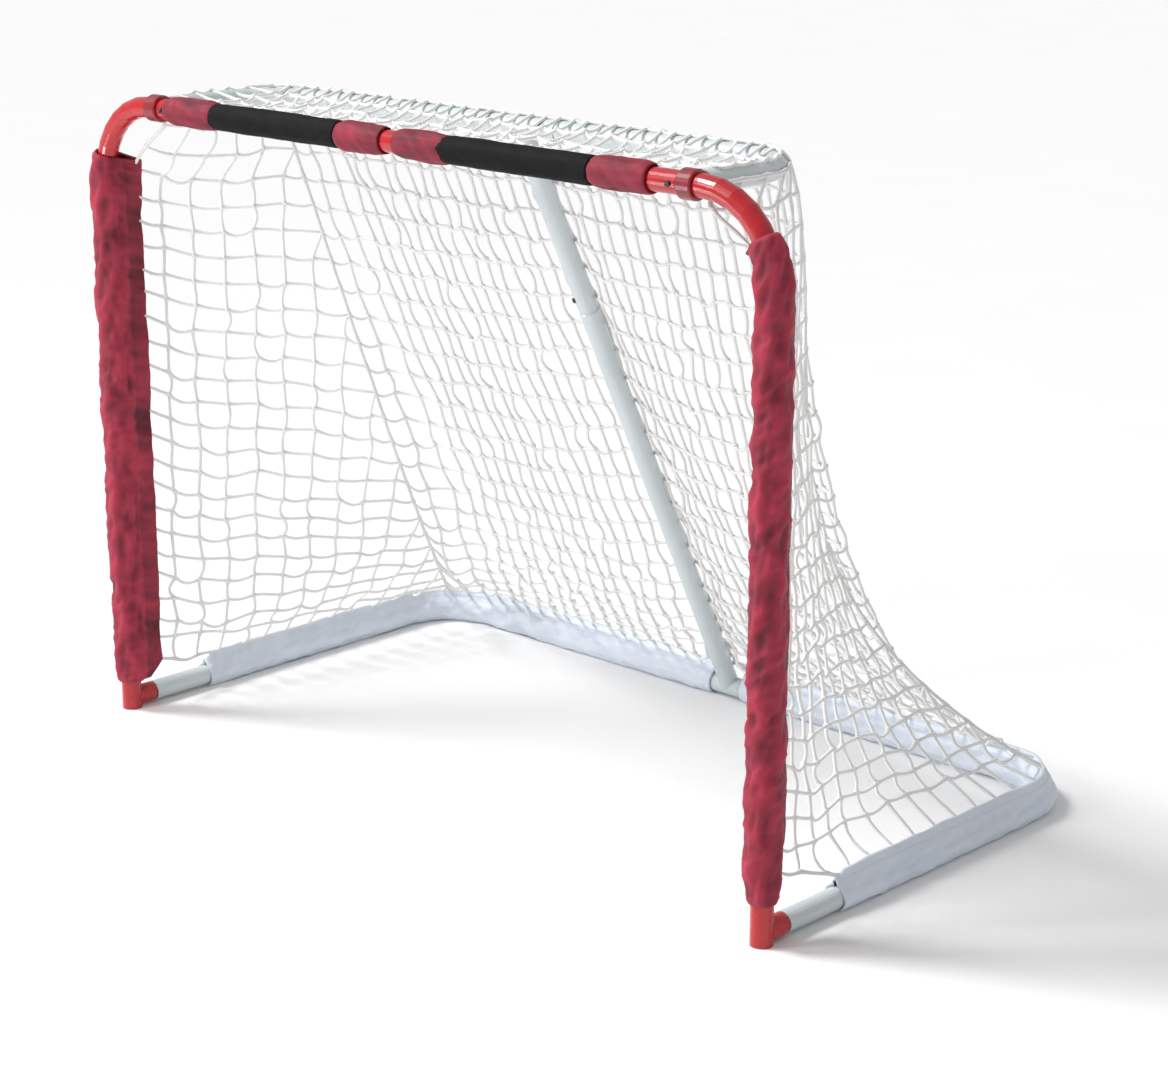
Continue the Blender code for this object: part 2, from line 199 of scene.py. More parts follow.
class Shader:
    """A node material with a few shorthands."""

    def __init__(self, name):
        self.mat = bpy.data.materials.new(name)
        self.mat.use_nodes = True
        self.tree = self.mat.node_tree
        self.bsdf = self.tree.nodes["Principled BSDF"]

    def node(self, kind, **inputs):
        made = self.tree.nodes.new(kind)
        for key, value in inputs.items():
            self.put(made, key.replace("_", " "), value)
        return made

    def put(self, node, key, value):
        socket = node.inputs[key]
        if isinstance(value, bpy.types.NodeSocket):
            self.tree.links.new(value, socket)
        else:
            socket.default_value = value

    def set(self, **inputs):
        for key, value in inputs.items():
            self.put(self.bsdf, key.replace("_", " "), value)

    def place(self, source="Object", scale=(1, 1, 1)):
        coordinates = self.tree.nodes.new("ShaderNodeTexCoord")
        mapping = self.node("ShaderNodeMapping", Vector=coordinates.outputs[source])
        mapping.inputs["Scale"].default_value = scale
        return mapping.outputs["Vector"]

    def noise(self, scale, detail=3.0, rough=0.5):
        made = self.node("ShaderNodeTexNoise", Scale=scale, Detail=detail, Roughness=rough)
        self.put(made, "Vector", self.place())
        return made.outputs["Fac"]

    def wave(self, scale, where, direction, distortion):
        made = self.node("ShaderNodeTexWave", Scale=scale, Distortion=distortion)
        made.wave_type = "BANDS"
        made.bands_direction = direction
        self.put(made, "Vector", where)
        return made.outputs["Fac"]

    def span(self, value, low, high, from_low=0.0, from_high=1.0):
        made = self.node("ShaderNodeMapRange", Value=value)
        for key, number in (
            ("From Min", from_low),
            ("From Max", from_high),
            ("To Min", low),
            ("To Max", high),
        ):
            made.inputs[key].default_value = number
        return made.outputs["Result"]

    def math(self, operation, a, b=0.0):
        made = self.tree.nodes.new("ShaderNodeMath")
        made.operation = operation
        self.put(made, 0, a)
        self.put(made, 1, b)
        return made.outputs[0]

    def mix(self, factor, a, b):
        made = self.tree.nodes.new("ShaderNodeMix")
        made.data_type = "RGBA"
        for index, value in ((0, factor), (6, a), (7, b)):
            self.put(made, index, value)
        return made.outputs[2]

    def bump(self, height, distance, strength=1.0, normal=None):
        made = self.node("ShaderNodeBump", Height=height, Distance=distance, Strength=strength)
        if normal is not None:
            self.put(made, "Normal", normal)
        return made.outputs["Normal"]


def rgb(r, g, b):
    return (r, g, b, 1.0)


def paint(name, light, dark, bare, gloss, scuff_below=0.0):
    """Glossy powder coat: slight unevenness, orange peel, dust and scuffs near the floor."""
    s = Shader(name)
    patchy = s.noise(7.0, 4.0)
    colour = s.mix(s.span(patchy, 0.0, 1.0, 0.35, 0.7), dark, light)
    speck = s.noise(420.0, 2.0)
    colour = s.mix(s.span(speck, 0.0, 0.25, 0.62, 0.75), colour, dark)
    if scuff_below:
        height = s.node("ShaderNodeSeparateXYZ", Vector=s.place()).outputs["Z"]
        near = s.span(height, 1.0, 0.0, 0.0, scuff_below)
        rub = s.span(s.noise(95.0, 5.0, 0.7), 0.0, 1.0, 0.52, 0.66)
        colour = s.mix(s.math("MULTIPLY", near, rub), colour, bare)
    s.set(
        Base_Color=colour,
        Roughness=s.span(s.noise(45.0, 4.0), gloss - 0.05, gloss + 0.09),
        Normal=s.bump(s.noise(620.0, 2.0), 0.00012, 0.5),
    )
    s.set(Coat_Weight=0.55, Coat_Roughness=0.07, Specular_IOR_Level=0.35)
    return s.mat


def nylon(name, light, dark, rough=0.62, sheen=0.03, blotch=0.12, shine=0.45):
    """Coated woven nylon: a fine basket weave, with painted highlight on the ridges of the folds
    and painted shade in them.
    """
    s = Shader(name)
    # painted shade and highlight of the cloth, read from the mesh, with random blotches of tone
    # added
    painted_shade = s.node("ShaderNodeAttribute")
    painted_shade.attribute_name = "painted_shade"
    shade = s.span(painted_shade.outputs["Fac"], 0.0, 1.0)
    shade = s.math("ADD", shade, s.span(s.noise(30.0, 5.0, 0.6), -blotch, blotch, 0.3, 0.7))
    colour = s.mix(s.math("MAXIMUM", s.math("MINIMUM", shade, 1.0), 0.0), dark, light)
    flat = s.place("UV")
    bands = 0.314 / WEAVE
    threads = s.math(
        "MAXIMUM", s.wave(bands, flat, "X", 0.25), s.wave(bands, flat, "Y", 0.25)
    )
    colour = s.mix(s.span(threads, 0.16, 0.0), colour, dark)
    s.set(
        Base_Color=colour,
        Roughness=s.span(s.noise(60.0, 3.0), rough - 0.08, rough + 0.08),
        Normal=s.bump(threads, 0.00018, 0.55, s.bump(s.noise(170.0, 4.0), 0.0006, 0.35)),
    )
    s.set(Sheen_Weight=sheen, Sheen_Roughness=0.4, Specular_IOR_Level=shine)
    return s.mat


def twine(name, light, dark, ply=0.0045):
    """Twisted cord: the plies wind round it, with painted shade in the grooves between them,
    patches of dust and a little fuzz.
    """
    s = Shader(name)
    where = s.place("UV", (1.0 / ply, 3.0, 1.0))
    parts = s.node("ShaderNodeSeparateXYZ", Vector=where)
    turn = s.math("ADD", parts.outputs["X"], parts.outputs["Y"])
    lay = s.math("ABSOLUTE", s.math("SINE", s.math("MULTIPLY", turn, math.pi)))
    soil = s.noise(9.0, 4.0)
    # painted shade in the grooves between the plies
    colour = s.mix(s.span(lay, 0.40, 0.0, 0.0, 0.5), light, dark)
    colour = s.mix(s.span(soil, 0.0, 0.35, 0.45, 0.8), colour, dark)
    fuzz = s.noise(1500.0, 2.0)
    s.set(
        Base_Color=colour,
        Roughness=s.span(fuzz, 0.72, 0.92),
        Normal=s.bump(lay, 0.0005, 0.8, s.bump(fuzz, 0.0002, 0.4)),
    )
    s.set(Sheen_Weight=0.2)
    return s.mat


def steel(name):
    """Blackened screw steel, brighter where the driver has rubbed it."""
    s = Shader(name)
    rub = s.span(s.noise(900.0, 3.0), 0.0, 1.0, 0.5, 0.68)
    s.set(
        Base_Color=s.mix(rub, rgb(0.02, 0.02, 0.022), rgb(0.30, 0.30, 0.31)),
        Roughness=s.span(rub, 0.45, 0.25),
        Normal=s.bump(s.noise(1400.0, 2.0), 0.0001, 0.5),
    )
    s.set(Metallic=0.85)
    return s.mat


def floor_material():
    s = Shader("studio_floor")
    s.set(
        Base_Color=s.mix(s.noise(3.0, 2.0), rgb(0.90, 0.90, 0.90), rgb(0.93, 0.93, 0.93)),
        Roughness=0.9,
    )
    return s.mat


RED = paint(
    "red_powder_coat",
    rgb(0.52, 0.012, 0.018),
    rgb(0.44, 0.008, 0.013),
    bare=rgb(0.25, 0.06, 0.05),
    gloss=0.24,
    scuff_below=0.02,
)
COLLAR = paint(
    "red_cast_collar",
    rgb(0.29, 0.012, 0.022),
    rgb(0.23, 0.009, 0.018),
    bare=rgb(0.25, 0.06, 0.05),
    gloss=0.34,
)
WHITE = paint(
    "white_powder_coat",
    rgb(0.66, 0.71, 0.72),
    rgb(0.58, 0.64, 0.66),
    bare=rgb(0.36, 0.37, 0.37),
    gloss=0.30,
    scuff_below=0.008,
)
# For the cloths, light is the colour of lit cloth and dark the colour of the painted shade in the
# folds, also used for the weave.
BURGUNDY = nylon(
    "burgundy_nylon_cloth", rgb(0.42, 0.028, 0.062), rgb(0.10, 0.006, 0.016), shine=0.35
)
PALE = nylon(
    "white_nylon_cloth",
    rgb(0.83, 0.87, 0.94),
    rgb(0.66, 0.73, 0.83),
    rough=0.70,
    sheen=0.05,
    blotch=0.06,
)
BLACK = nylon(
    "black_nylon_band",
    rgb(0.011, 0.011, 0.012),
    rgb(0.005, 0.005, 0.006),
    rough=0.66,
    sheen=0.0,
    shine=0.12,
)
TWINE = twine("net_twine", rgb(0.90, 0.90, 0.89), rgb(0.72, 0.72, 0.71))
ROPE = twine("edge_rope", rgb(0.82, 0.82, 0.81), rgb(0.56, 0.56, 0.55), ply=0.006)
RED_THREAD = twine("burgundy_thread", rgb(0.36, 0.05, 0.09), rgb(0.20, 0.02, 0.04), ply=0.0012)
PALE_THREAD = twine("white_thread", rgb(0.80, 0.82, 0.86), rgb(0.55, 0.58, 0.64), ply=0.0012)
BLACK_THREAD = twine("black_thread", rgb(0.03, 0.03, 0.03), rgb(0.01, 0.01, 0.01), ply=0.0012)
STEEL = steel("screw_steel")


def dress_frame():
    """Better finishes on the tubes, collars and screws that stay as they are."""
    for name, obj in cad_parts.items():
        if "screw" in name:
            mat = STEEL
        elif name.startswith("collar"):
            mat = COLLAR
        elif name.startswith(("post_left", "post_right", "crossbar", "arm_spigot", "foot_stub")):
            mat = RED
        else:
            mat = WHITE
        if obj.data.materials:
            for index in range(len(obj.data.materials)):
                obj.data.materials[index] = mat
        else:
            obj.data.materials.append(mat)


# ---------------------------------------------------------------- mesh building


class Builder:
    """Collects vertices, faces, UVs and the painted shade of the cloth at each point, for one mesh.
    """

    def __init__(self):
        self.points, self.faces, self.uvs, self.slots, self.folds = [], [], [], [], []

    def grid(self, rows, us, vs, slot=0, folds=None, loop=False):
        """Skin closed rows of points, and join the last row to the first if loop. Gives the
        number of the first point."""
        base, wide = len(self.points), len(rows[0])
        for r, row in enumerate(rows):
            self.points.extend(row)
            # folds holds the painted shade of each point, 0.5 where none is given
            self.folds.extend(folds[r] if folds is not None else [0.5] * wide)
        for r in range(len(rows) - (0 if loop else 1)):
            low, high = base + r * wide, base + (r + 1) % len(rows) * wide
            for c in range(wide):
                d = (c + 1) % wide
                self.faces.append((low + c, low + d, high + d, high + c))
                self.uvs.append(
                    ((us[r], vs[c]), (us[r], vs[c + 1]), (us[r + 1], vs[c + 1]), (us[r + 1], vs[c]))
                )
                self.slots.append(slot)
        return base

    def cap(self, first, wide, slot=0, flip=False):
        """Close the end of a cord over a row of points that's already there."""
        face = tuple(range(first, first + wide))
        self.faces.append(face[::-1] if flip else face)
        self.uvs.append(((0.0, 0.0),) * wide)
        self.slots.append(slot)

    def cord(self, line, radius, sides=6, closed=False, slot=0, start=0.0, swell=None, capped=True):
        """A round cord along points. swell gives a radius factor for each point."""
        line = np.asarray(line, float)
        count = len(line)
        if closed:
            ahead, behind = np.roll(line, -1, 0), np.roll(line, 1, 0)
        else:
            ahead = np.vstack([line[1:], line[-1:]])
            behind = np.vstack([line[:1], line[:-1]])
        tangent = ahead - behind
        tangent /= np.maximum(np.linalg.norm(tangent, axis=1, keepdims=True), 1e-9)
        side = np.cross(tangent[0], (0.31, 0.22, 0.93))
        if np.linalg.norm(side) < 0.1:
            side = np.cross(tangent[0], (1.0, 0.1, 0.0))
        angles = 2 * math.pi * np.arange(sides) / sides
        rows, us, at = [], [], start
        for i in range(count):
            side = side - tangent[i] * side.dot(tangent[i])
            side /= max(np.linalg.norm(side), 1e-9)
            up = np.cross(tangent[i], side)
            r = radius * (swell[i] if swell is not None else 1.0)
            rows.append(
                [tuple(line[i] + r * (math.cos(a) * side + math.sin(a) * up)) for a in angles]
            )
            if i:
                at += float(np.linalg.norm(line[i] - line[i - 1]))
            us.append(at)
        if closed:
            us.append(at + float(np.linalg.norm(line[0] - line[-1])))
        vs = [i / sides for i in range(sides + 1)]
        first = self.grid(rows, us, vs, slot, loop=closed)
        if capped and not closed:
            self.cap(first, sides, slot, flip=True)
            self.cap(first + (count - 1) * sides, sides, slot)

    def object(self, name, mats):
        mesh = bpy.data.meshes.new(name)
        mesh.from_pydata([tuple(p) for p in self.points], [], self.faces)
        layer = mesh.uv_layers.new(name="UVMap")
        flat = [number for face in self.uvs for pair in face for number in pair]
        layer.data.foreach_set("uv", flat)
        # painted shade of each point, for the cloth materials
        painted_shade = mesh.attributes.new("painted_shade", "FLOAT", "POINT")
        painted_shade.data.foreach_set("value", [float(f) for f in self.folds])
        for mat in mats:
            mesh.materials.append(mat)
        mesh.polygons.foreach_set("material_index", self.slots)
        mesh.shade_smooth()
        mesh.validate()
        obj = bpy.data.objects.new(name, mesh)
        bpy.context.scene.collection.objects.link(obj)
        return obj


def route(corners, radius):
    """Evenly spaced points and directions along straight runs joined by round bends."""
    corners = [Vector(c) for c in corners]
    line = [corners[0]]
    for before, corner, after in zip(corners, corners[1:], corners[2:]):
        into, out = (corner - before).normalized(), (after - corner).normalized()
        turn = into.angle(out)
        setback = radius * math.tan(turn / 2)
        axis = into.cross(out).normalized()
        start = corner - into * setback
        middle = start + axis.cross(into) * radius
        steps = max(4, int(turn * radius / STEP))
        for i in range(steps + 1):
            line.append(middle + Matrix.Rotation(turn * i / steps, 3, axis) @ (start - middle))
    line.append(corners[-1])
    line = np.array(line, float)
    along = np.concatenate([[0], np.cumsum(np.linalg.norm(np.diff(line, axis=0), axis=1))])
    count = max(4, int(round(along[-1] / STEP)))
    at = np.linspace(0, along[-1], count + 1)
    even = np.stack([np.interp(at, along, line[:, k]) for k in range(3)], 1)
    way = np.gradient(even, axis=0)
    way /= np.linalg.norm(way, axis=1, keepdims=True)
    return even, way, at


# ---------------------------------------------------------------- cloth


PLAIN_LOOKS = {
    "radius": CLOTH_R,
    "pitch": 0.085,  # from one swelling along the sleeve to the next
    "grooves": 0.0,  # height of the long folds
    "painted_fold_contrast": 1.0,  # how much painted shade and painted highlight follow the folds
    "round_painted_light": 0.0,  # painted light: how much paler the round is than the flap, which is in painted shade
    "ridge_painted_highlight": 0.0,  # painted highlight: how much paler the root of the flap is
    "twist": 0.0,  # more turn of the flap at the top end
    "bulge": 0.0,  # how far the lower end is pushed over the next piece
    "taper_low": None,  # how far from each end the flap starts to slant in
    "taper_high": None,
    "stitch": 6,  # which point of the outline the stitches run along
}
POST_LOOKS = {
    "taper_low": 0.028,
    "pinch": 0.16,  # how far the cloth hollows between the tube and the flap
    "round_painted_light": 0.24,
    "ridge_painted_highlight": 0.34,
    "painted_fold_contrast": 1.5,
    "wrinkle": 1.6,  # height of the folds
    "puff": 0.0026,  # height of the swellings along the sleeve
}
BASE_LOOKS = {
    "taper_low": 0.018,
    "taper_high": 0.025,
    "stitch": 5,
    "pinch": 0.10,
    "wrinkle": 0.85,
    "painted_fold_contrast": 0.75,
    "puff": 0.0006,
    "pitch": 0.13,
}
BAR_LOOKS = {"on": "crossbar", "pinch": 0.7, "wrinkle": 0.55, "puff": 0.0018, "grooves": 1.0}
BAR_TAPER = 0.03
BAND_LOOKS = {
    "on": "crossbar",
    "radius": CLOTH_R + 0.0012,
    "pinch": 0.7,
    "bulge": 0.010,
    "wrinkle": 0.2,
    "puff": 0.0005,
    "grooves": 0.4,
}


def pocket(radius, tip, pinch):
    """Outline of cloth round a tube and sewn into a flap: points (p, q) with p towards the flap."""
    touch = math.acos(min(0.999, radius / tip))
    run = math.sqrt(tip * tip - radius * radius)
    arc = radius * 2 * (math.pi - touch)
    on_line = max(4, int(round(OUTLINE * run / (2 * run + arc))))
    on_arc = OUTLINE - 2 * on_line
    corner = np.array((math.cos(touch), math.sin(touch))) * radius
    points = []
    for i in range(on_line):
        t = i / on_line
        p, q = np.array((tip, HALF_FLAP)) * (1 - t) + corner * t
        points.append((p, max(HALF_FLAP, q * (1 - pinch * math.sin(math.pi * t) ** 0.8))))
    for i in range(on_arc + 1):
        a = touch + 2 * (math.pi - touch) * i / on_arc
        points.append((radius * math.cos(a), radius * math.sin(a)))
    lower = [(p, -q) for p, q in points[1:on_line]][::-1]
    return np.array(points + lower + [(tip, -HALF_FLAP)])


def outward(shape):
    """The direction away from the cloth at each point of its outline."""
    edge = np.roll(shape, -1, 0) - np.roll(shape, 1, 0)
    out = np.stack([edge[:, 1], -edge[:, 0]], 1)
    out /= np.maximum(np.linalg.norm(out, axis=1, keepdims=True), 1e-9)
    return out if (out * shape).sum() >= 0 else -out


def beside(way, normal):
    """The direction square to a tube and to the way its flap points."""
    side = np.cross(way, normal)
    return side / np.linalg.norm(side)


def twisted(end):
    """Share of its twist that a post's flap has, at a distance from its top end."""
    return max(0.0, 1 - end / TWIST_RUN) ** 1.5


def flap_sway(s, seed):
    """How far a flap leans to one side at a distance along its sleeve."""
    return SWAY * noise.noise(Vector((s * 14, seed + 4, 0)))


def crease(value):
    """Turns smooth noise into sharp folds, 0 in the valleys and 1 on the ridges."""
    return 1.0 - min(1.0, abs(value) * 2.6)


def wrinkles(s, angle, girth, seed):
    """Each kind of fold in the cloth, at s along a sleeve and an angle round it. The factors of s
    are folds per metre."""
    around = Vector((math.cos(angle) * 0.9, math.sin(angle) * 0.9, 0))
    slant = Vector((s * 30 + 2.2 * angle, s * 18 - 1.1 * angle + seed, 5))
    facet = Vector((s * 23 + 0.8 * around.y, around.x * 1.7 - s * 6, around.y * 1.7 + seed))
    return {
        "soft": noise.noise(Vector((s * 16, around.x * 1.3 + seed, around.y * 1.3))),
        "ring": crease(noise.noise(Vector((s * 40 + 0.9 * around.y, around.x * 1.1, seed + 2)))),
        "slant": crease(noise.noise(slant)),
        "facet": min(1.0, noise.voronoi(facet)[0][0] * 1.25),
        "long": crease(noise.noise(Vector((s * 5, angle * 2.4, seed + 12)))),
        "fine": noise.noise(Vector((s * 130, girth * 90, seed + 7))),
    }


def fold_lift(folds, looks, f, swell, gather):
    """Height of the cloth over its outline. f runs from 0 on the round to 1 at the flap's edge."""
    sharp = RING_FOLD * folds["ring"] + SLANT_FOLD * folds["slant"]
    sharp += FACET_FOLD * folds["facet"] ** 1.5
    lift = swell * (1 - 0.6 * f)
    lift += looks["wrinkle"] * (
        SOFT_FOLD * (folds["soft"] + 0.45) + sharp * (1 - 0.35 * f) + FINE_FOLD * folds["fine"]
    )
    lift += looks["grooves"] * LONG_FOLD * folds["long"]
    return max(lift, -DEEPEST_FOLD) * (1 - 0.75 * gather) * (1 - 0.45 * f)


def painted_fold_shade(folds, looks, f):
    """Painted light and shade of the cloth, from 0 (dark) to 1 (pale), for its material."""
    # painted light: the round of the sleeve paler than its flap
    shade = 0.30 + looks["round_painted_light"] * (1 - min(1.0, 5 * f))
    # painted highlight along the root of the flap
    shade += looks["ridge_painted_highlight"] * math.exp(-(((f - 0.10) / 0.05) ** 2))
    # painted shade in the folds and painted highlight on their ridges
    shade += looks["painted_fold_contrast"] * (
        0.24 * (folds["ring"] - 0.4)
        + 0.26 * folds["soft"]
        + 0.42 * (folds["facet"] - 0.45)
        + 0.10 * folds["fine"]
    )
    return min(1.0, max(0.0, shade))


def cloth_row(middle, way, ends, outline, normal, turn, seed, looks):
    """The points round a sleeve at one place along it, and the painted shade of the cloth at each.
    ends are the distances from there to the sleeve's lower and upper ends."""
    s, rest = ends
    side = beside(way, normal)
    twist = turn + looks["twist"] * twisted(rest)
    cos, sin = math.cos(twist), math.sin(twist)
    trim = 1.0
    for end, run in ((s, looks["taper_low"]), (rest, looks["taper_high"])):
        if run:
            trim = min(trim, TAPER_END + (1 - TAPER_END) * min(1.0, end / run))
    phase = s / looks["pitch"] + 0.6 * noise.noise(Vector((s * 5, seed, 0)))
    swell = looks["puff"] * abs(math.sin(math.pi * phase)) ** 0.5
    gather = math.exp(-min(s, rest) / END_GATHER)
    sway = flap_sway(s, seed)
    edge_wave = EDGE_WAVE * noise.noise(Vector((s * 22, seed + 9, 0)))
    row, shades = [], []
    for (p, q), girth, f, (out_p, out_q) in outline:
        angle = math.atan2(q, p)
        folds = wrinkles(s, angle, girth, seed)
        lift = fold_lift(folds, looks, f, swell, gather)
        if f > 0:
            p = CLOTH_R + (p - CLOTH_R) * trim
            q *= TAPER_THIN + (1 - TAPER_THIN) * trim
        p += out_p * lift + edge_wave * f
        q += out_q * lift + sway * f
        push = looks["bulge"] * max(0.0, -math.cos(angle)) ** 0.7 * math.exp(-s / BULGE_RUN)
        across, aside = p * cos - q * sin, p * sin + q * cos
        place = middle + normal * across + side * aside - way * push
        row.append((place[0], place[1], max(place[2], FLOOR_CLEAR)))
        shades.append(painted_fold_shade(folds, looks, f))
    return row, shades


def hem(row, middle, way, normal):
    """The end of the cloth, turned in to the tube. way points into the sleeve."""
    side = beside(way, normal)
    ring = []
    for point in row:
        offset = np.array(point) - middle
        a, b = offset.dot(normal), offset.dot(side)
        length = max(math.hypot(a, b), 1e-6)
        near = HEM_REACH / length
        if length >= CLOTH_R + ROUND_CLOTH:
            near = max(FLAP_HEM, near)
        spot = middle + (normal * a + side * b) * near + way * HEM_IN
        ring.append((spot[0], spot[1], max(spot[2], FLOOR_CLEAR)))
    return ring


def stitches(built, rows, line, out, normal, index):
    """Short threads along both faces of the flap."""
    wide = len(rows[0])
    for column in (index, wide - 1 - index):
        for r in range(3, len(rows) - 4, 2):
            a, b = np.array(rows[r][column]), np.array(rows[r + 1][column])
            lift = a - line[r - 1]
            across = np.array(rows[r][(column + 1) % wide]) - np.array(rows[r][column - 1])
            face = np.cross(b - a, across)
            face /= max(np.linalg.norm(face), 1e-9)
            if face.dot(out[column, 0] * normal + out[column, 1] * lift) < 0:
                face = -face
            inset, clear = (b - a) * STITCH_INSET, face * STITCH_CLEAR
            a, b = a + inset + clear, b - inset + clear
            middle = (a + b) / 2 + face * STITCH_RISE
            built.cord([a, middle, b], STITCH_R, 4, slot=1, capped=False)


def sleeve(name, node, body, corners, bend, normal, turn, tip, mats, seed, looks):
    """A wrinkled nylon pocket round a tube, with a stitched flap."""
    looks = {**PLAIN_LOOKS, **looks}
    line, way, at = route(corners, bend)
    total = at[-1]
    normal = np.array(normal, float)
    shape = pocket(looks["radius"], tip, looks["pinch"])
    out = outward(shape)
    girth = np.concatenate([[0], np.cumsum(np.linalg.norm(np.diff(shape, axis=0), axis=1))])
    flap = np.clip((shape[:, 0] - CLOTH_R) / max(tip - CLOTH_R, 1e-4), 0, 1)
    outline = list(zip(shape.tolist(), girth.tolist(), flap.tolist(), out.tolist()))
    rows, folds = [], []
    for i, s in enumerate(at.tolist()):
        ends = (s, total - s)
        row, shades = cloth_row(line[i], way[i], ends, outline, normal, turn, seed, looks)
        rows.append(row)
        folds.append(shades)
    low_hem = hem(rows[0], line[0], way[0], normal)
    high_hem = hem(rows[-1], line[-1], -way[-1], normal)
    rows = [low_hem] + rows + [high_hem]
    # painted shade at the turned-in ends
    folds = [[HEM_PAINTED_SHADE] * len(shape)] + folds + [[HEM_PAINTED_SHADE] * len(shape)]
    us = [-HEM_IN] + at.tolist() + [total + HEM_IN]
    vs = girth.tolist() + [float(girth[-1]) + 2 * HALF_FLAP]
    built = Builder()
    built.grid(rows, us, vs, folds=folds)
    stitches(built, rows, line, out, normal, looks["stitch"])
    obj = built.object(name, mats)
    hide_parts(node)
    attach(obj, body)


def post_sleeves():
    rise = TOP_Z - FRONT_BEND
    for side, sign in SIDES.items():
        low, high = POST_SLEEVES[side]
        x = sign * POST_X
        reach = max(0.02, high - rise)
        turn = math.asin(min(0.99, reach / FRONT_BEND))
        bendy = Vector((x, MOUTH_Y, rise + FRONT_BEND * math.tan(turn / 2)))
        tip = Vector((x - sign * FRONT_BEND * (1 - math.cos(turn)), MOUTH_Y, rise + reach))
        sleeve(
            "cloth_post_" + side,
            "post_sleeve_" + side,
            FRONT,
            [(x, MOUTH_Y, low), bendy, tip],
            FRONT_BEND,
            (0, 1, 0),
            sign * POST_TURN[side],
            POST_TIP,
            [BURGUNDY, RED_THREAD],
            POST_SEEDS[side],
            {**POST_LOOKS, "on": "post_" + side, "twist": sign * POST_TWIST[side]},
        )


def base_sleeves():
    for side, sign in SIDES.items():
        x = sign * POST_X
        sleeve(
            "cloth_base_" + side,
            "base_sleeve_" + side,
            REAR,
            [
                (x, BASE_SLEEVE_Y, BASE_Z),
                (x, BASE_Y, BASE_Z),
                (sign * BASE_SLEEVE_X, BASE_Y, BASE_Z),
            ],
            REAR_BEND,
            (0, 0, 1),
            0.0,
            BASE_TIP,
            [PALE, PALE_THREAD],
            BASE_SEEDS[side],
            {**BASE_LOOKS, "on": "base_tube_" + side},
        )


def crossbar_sleeves():
    seeds = iter(BAR_SEEDS)
    for side in SIDES:
        for node, mats, looks in (
            (
                "crossbar_sleeve_" + side + "_a",
                [BURGUNDY, RED_THREAD],
                {**BAR_LOOKS, "taper_low": BAR_TAPER},
            ),
            ("crossbar_band_" + side, [BLACK, BLACK_THREAD], BAND_LOOKS),
            (
                "crossbar_sleeve_" + side + "_b",
                [BURGUNDY, RED_THREAD],
                {**BAR_LOOKS, "taper_high": BAR_TAPER},
            ),
        ):
            low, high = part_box(node)
            sleeve(
                node.replace("crossbar", "cloth_bar"),
                node,
                FRONT,
                [(x, MOUTH_Y, TOP_Z) for x in (low[0], (low[0] + high[0]) / 2, high[0])],
                0.0,
                (0, 1, 0),
                BAR_TURN,
                BAR_TIP,
                mats,
                next(seeds),
                {**looks, "pitch": (high[0] - low[0]) * 1.02},
            )


# ---------------------------------------------------------------- net


